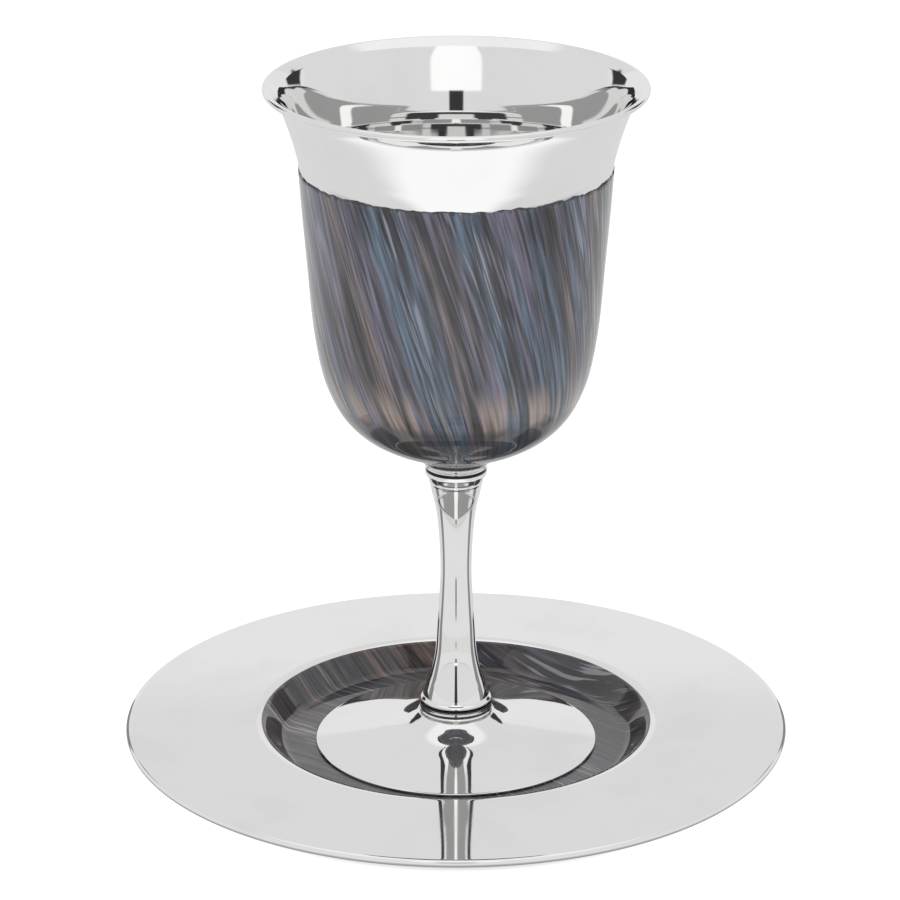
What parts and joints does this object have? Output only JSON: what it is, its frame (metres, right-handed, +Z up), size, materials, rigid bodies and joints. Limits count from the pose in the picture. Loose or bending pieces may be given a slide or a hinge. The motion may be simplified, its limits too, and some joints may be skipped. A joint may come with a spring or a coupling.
{
  "type": "kiddush cup with saucer",
  "caption": "Flared stemmed wine goblet with an enamelled bowl, standing in a round rimmed saucer with an enamelled well.",
  "frame": {"origin": "centre of the saucer's flat underside, on the table", "axes": "+Z up along the common turning axis of cup and saucer; +X and +Y are level and free, because every piece is round"},
  "size_m": [0.1498, 0.15, 0.155],
  "materials": {
    "polished_metal": "mirror-polished silver-coloured plating",
    "enamel": "glossy slate-grey enamel with fine brushed streaks of blue-grey, mauve, charcoal and beige"
  },
  "bodies": {
    "root": {"saucer": "polished_metal", "saucer_enamel": "enamel", "foot": "polished_metal", "collar": "polished_metal", "stem": "polished_metal", "bowl": "polished_metal", "bowl_enamel": "enamel"}
  },
  "joints": []
}
